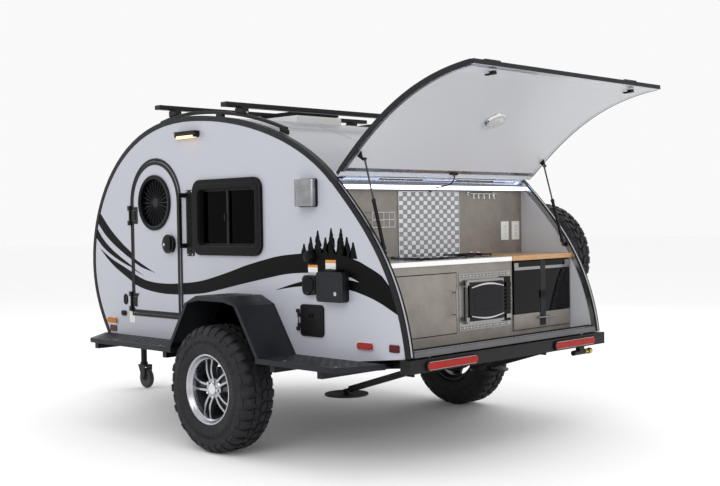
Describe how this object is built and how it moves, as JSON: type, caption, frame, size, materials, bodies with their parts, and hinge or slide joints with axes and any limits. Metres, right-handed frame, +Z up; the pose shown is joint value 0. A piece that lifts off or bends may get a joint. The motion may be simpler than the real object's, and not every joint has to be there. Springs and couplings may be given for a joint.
{
  "type": "off-road teardrop camping trailer",
  "caption": "Teardrop camping trailer with a rear galley under a lifting hatch, arched side doors, angular fenders, side steps, roof rack, spare wheel and tongue jack.",
  "frame": {"origin": "on the ground under the middle of the overall length, on the trailer's centre line", "axes": "+X forward to the coupler, +Y to the trailer's left, +Z up"},
  "size_m": [4.6358, 2.385, 2.1172],
  "materials": {
    "frame_black": "satin black paint",
    "coupler_black": "black cast",
    "deck_black": "textured black",
    "bottle_white": "gloss white paint",
    "lamp_red": "red lens",
    "fender_black": "textured black",
    "floor_grey": "dark floor board",
    "body_white": "gloss laminate, cool white",
    "roof_silver": "silver-grey skin",
    "trim_black": "black trim",
    "laminate": "brown-grey laminate",
    "worktop_white": "white worktop",
    "worktop_wood": "oiled wood",
    "steel": "brushed steel",
    "frame_trim": "black frame",
    "tinted_glass": "dark tint",
    "fittings_black": "black fittings",
    "rack_black": "satin black",
    "vent_white": "off-white",
    "vent_lid_black": "smoked black",
    "tyre": "tread rubber",
    "alloy": "machined silver",
    "mattress": "grey cloth",
    "jack_steel": "zinc plated",
    "hatch_grey": "light grey skin",
    "strut_black": "black",
    "rod_steel": "polished rod",
    "fridge_black": "black",
    "lid_glass": "smoked glass",
    "caster_rubber": "solid rubber"
  },
  "bodies": {
    "trailer": {"chassis_rails": "frame_black", "chassis_crossmembers": "frame_black", "coupler": "coupler_black", "tongue_deck": "deck_black", "gas_bottle": "bottle_white", "axle": "frame_black", "rear_bumper": "frame_black", "lamps": "lamp_red", "fenders": "fender_black", "side_steps": "fender_black", "floor_panel": "floor_grey", "side_wall_left": "body_white", "side_wall_right": "body_white", "roof_panel": "roof_silver", "edge_trims": "trim_black", "galley_bulkhead": "laminate", "galley_cabinet": "laminate", "white_worktop": "worktop_white", "wood_worktop": "worktop_wood", "hob_and_sink": "steel", "microwave": "steel", "opening_frames": "frame_trim", "window_panes": "tinted_glass", "wall_fittings": "fittings_black", "roof_rails": "rack_black", "roof_bars": "rack_black", "roof_vent_base": "vent_white", "spare_wheel": "tyre", "mattress": "mattress", "jack_tube": "frame_black"},
    "wheel_left": {"tyre_left": "tyre", "rim_left": "alloy"},
    "wheel_right": {"tyre_right": "tyre", "rim_right": "alloy"},
    "hatch": {"hatch_panel": "hatch_grey", "hatch_fittings": "fittings_black"},
    "strut_cylinder_left": {"strut_cylinder_left": "strut_black"},
    "strut_rod_left": {"strut_rod_left": "rod_steel"},
    "strut_cylinder_right": {"strut_cylinder_right": "strut_black"},
    "strut_rod_right": {"strut_rod_right": "rod_steel"},
    "side_door_left": {"door_left": "body_white", "door_glass_left": "tinted_glass"},
    "side_door_right": {"door_right": "body_white", "door_glass_right": "tinted_glass"},
    "cupboard_door": {"cupboard_door": "laminate"},
    "microwave_door": {"microwave_door": "steel"},
    "fridge_slide": {"fridge_tray": "laminate", "fridge": "fridge_black"},
    "sink_lid": {"sink_lid": "lid_glass"},
    "roof_vent_lid": {"roof_vent_lid": "vent_lid_black"},
    "service_door": {"service_door": "fittings_black"},
    "power_box_lid": {"power_box_lid": "fittings_black"},
    "jack_leg": {"jack_leg": "jack_steel"},
    "jack_fork": {"jack_fork": "frame_black"},
    "jack_wheel": {"jack_wheel": "caster_rubber"},
    "stabiliser_leg_left": {"stabiliser_leg_left": "frame_black"},
    "stabiliser_pad_left": {"stabiliser_pad_left": "frame_black"},
    "stabiliser_leg_right": {"stabiliser_leg_right": "frame_black"},
    "stabiliser_pad_right": {"stabiliser_pad_right": "frame_black"}
  },
  "joints": [
    {"name": "wheel_left_spin", "type": "hinge", "parent": "trailer", "child": "wheel_left", "pos_m": [-0.57115, 1.075, 0.3685], "axis": [0, 1, 0], "continuous": true},
    {"name": "wheel_right_spin", "type": "hinge", "parent": "trailer", "child": "wheel_right", "pos_m": [-0.57115, -1.075, 0.3685], "axis": [0, 1, 0], "continuous": true},
    {"name": "hatch_hinge", "type": "hinge", "parent": "trailer", "child": "hatch", "pos_m": [-1.34666, 0, 1.5707], "axis": [0, 1, 0], "range_deg": [-88, 0]},
    {"name": "strut_left_tilt", "type": "hinge", "parent": "trailer", "child": "strut_cylinder_left", "pos_m": [-1.65544, 0.8115, 1.15561], "axis": [0, 1, 0], "range_deg": [0, 25.4]},
    {"name": "strut_left_slide", "type": "slide", "parent": "strut_cylinder_left", "child": "strut_rod_left", "axis": [0.2687, 0, 0.9632], "range_m": [-0.1903, 0]},
    {"name": "strut_right_tilt", "type": "hinge", "parent": "trailer", "child": "strut_cylinder_right", "pos_m": [-1.65544, -0.8115, 1.15561], "axis": [0, 1, 0], "range_deg": [0, 25.4]},
    {"name": "strut_right_slide", "type": "slide", "parent": "strut_cylinder_right", "child": "strut_rod_right", "axis": [0.2687, 0, 0.9632], "range_m": [-0.1903, 0]},
    {"name": "side_door_left_hinge", "type": "hinge", "parent": "trailer", "child": "side_door_left", "pos_m": [0.65085, 0.8855, 1.2], "axis": [0, 0, -1], "range_deg": [0, 100]},
    {"name": "side_door_right_hinge", "type": "hinge", "parent": "trailer", "child": "side_door_right", "pos_m": [0.65085, -0.8855, 1.2], "axis": [0, 0, 1], "range_deg": [0, 100]},
    {"name": "cupboard_hinge", "type": "hinge", "parent": "trailer", "child": "cupboard_door", "pos_m": [-1.68815, 0.8065, 0.85], "axis": [0, 0, -1], "range_deg": [0, 95]},
    {"name": "microwave_hinge", "type": "hinge", "parent": "trailer", "child": "microwave_door", "pos_m": [-1.71115, 0.211, 0.85], "axis": [0, 0, -1], "range_deg": [0, 95]},
    {"name": "fridge_slide", "type": "slide", "parent": "trailer", "child": "fridge_slide", "axis": [-1, 0, 0], "range_m": [0, 0.32]},
    {"name": "sink_lid_hinge", "type": "hinge", "parent": "trailer", "child": "sink_lid", "pos_m": [-1.36915, 0.33, 1.113], "axis": [0, 1, 0], "range_deg": [0, 88]},
    {"name": "roof_vent_hinge", "type": "hinge", "parent": "trailer", "child": "roof_vent_lid", "pos_m": [0.10885, 0, 2.0314], "axis": [0, 1, 0], "range_deg": [0, 60]},
    {"name": "service_hinge", "type": "hinge", "parent": "trailer", "child": "service_door", "pos_m": [-1.03815, 0.8825, 0.775], "axis": [0, 0, -1], "range_deg": [0, 100]},
    {"name": "power_box_hinge", "type": "hinge", "parent": "trailer", "child": "power_box_lid", "pos_m": [-1.33815, 0.9105, 1.061], "axis": [1, 0, 0], "range_deg": [0, 100]},
    {"name": "jack_slide", "type": "slide", "parent": "trailer", "child": "jack_leg", "axis": [0, 0, 1], "range_m": [0, 0.225]},
    {"name": "caster_swivel", "type": "hinge", "parent": "jack_leg", "child": "jack_fork", "pos_m": [1.85885, 0, 0.188], "axis": [0, 0, 1], "continuous": true},
    {"name": "caster_spin", "type": "hinge", "parent": "jack_fork", "child": "jack_wheel", "pos_m": [1.82385, 0, 0.08], "axis": [0, 1, 0], "continuous": true},
    {"name": "stabiliser_left_swing", "type": "hinge", "parent": "trailer", "child": "stabiliser_leg_left", "pos_m": [-1.63115, 0.6495, 0.5], "axis": [0, 1, 0], "range_deg": [0, 73]},
    {"name": "stabiliser_left_level", "type": "hinge", "parent": "stabiliser_leg_left", "child": "stabiliser_pad_left", "pos_m": [-1.17768, 0.6495, 0.362], "axis": [0, 1, 0], "range_deg": [-73, 0]},
    {"name": "stabiliser_right_swing", "type": "hinge", "parent": "trailer", "child": "stabiliser_leg_right", "pos_m": [-1.63115, -0.6495, 0.5], "axis": [0, 1, 0], "range_deg": [0, 73]},
    {"name": "stabiliser_right_level", "type": "hinge", "parent": "stabiliser_leg_right", "child": "stabiliser_pad_right", "pos_m": [-1.17768, -0.6495, 0.362], "axis": [0, 1, 0], "range_deg": [-73, 0]}
  ],
  "couplings": [
    {"joint": "strut_left_tilt", "follows": "hatch_hinge", "ratio": -0.2886},
    {"joint": "strut_left_slide", "follows": "hatch_hinge", "m_per_rad": 0.12388},
    {"joint": "stabiliser_left_level", "follows": "stabiliser_left_swing", "ratio": -1},
    {"joint": "strut_right_tilt", "follows": "hatch_hinge", "ratio": -0.2886},
    {"joint": "strut_right_slide", "follows": "hatch_hinge", "m_per_rad": 0.12388},
    {"joint": "stabiliser_right_level", "follows": "stabiliser_right_swing", "ratio": -1}
  ]
}
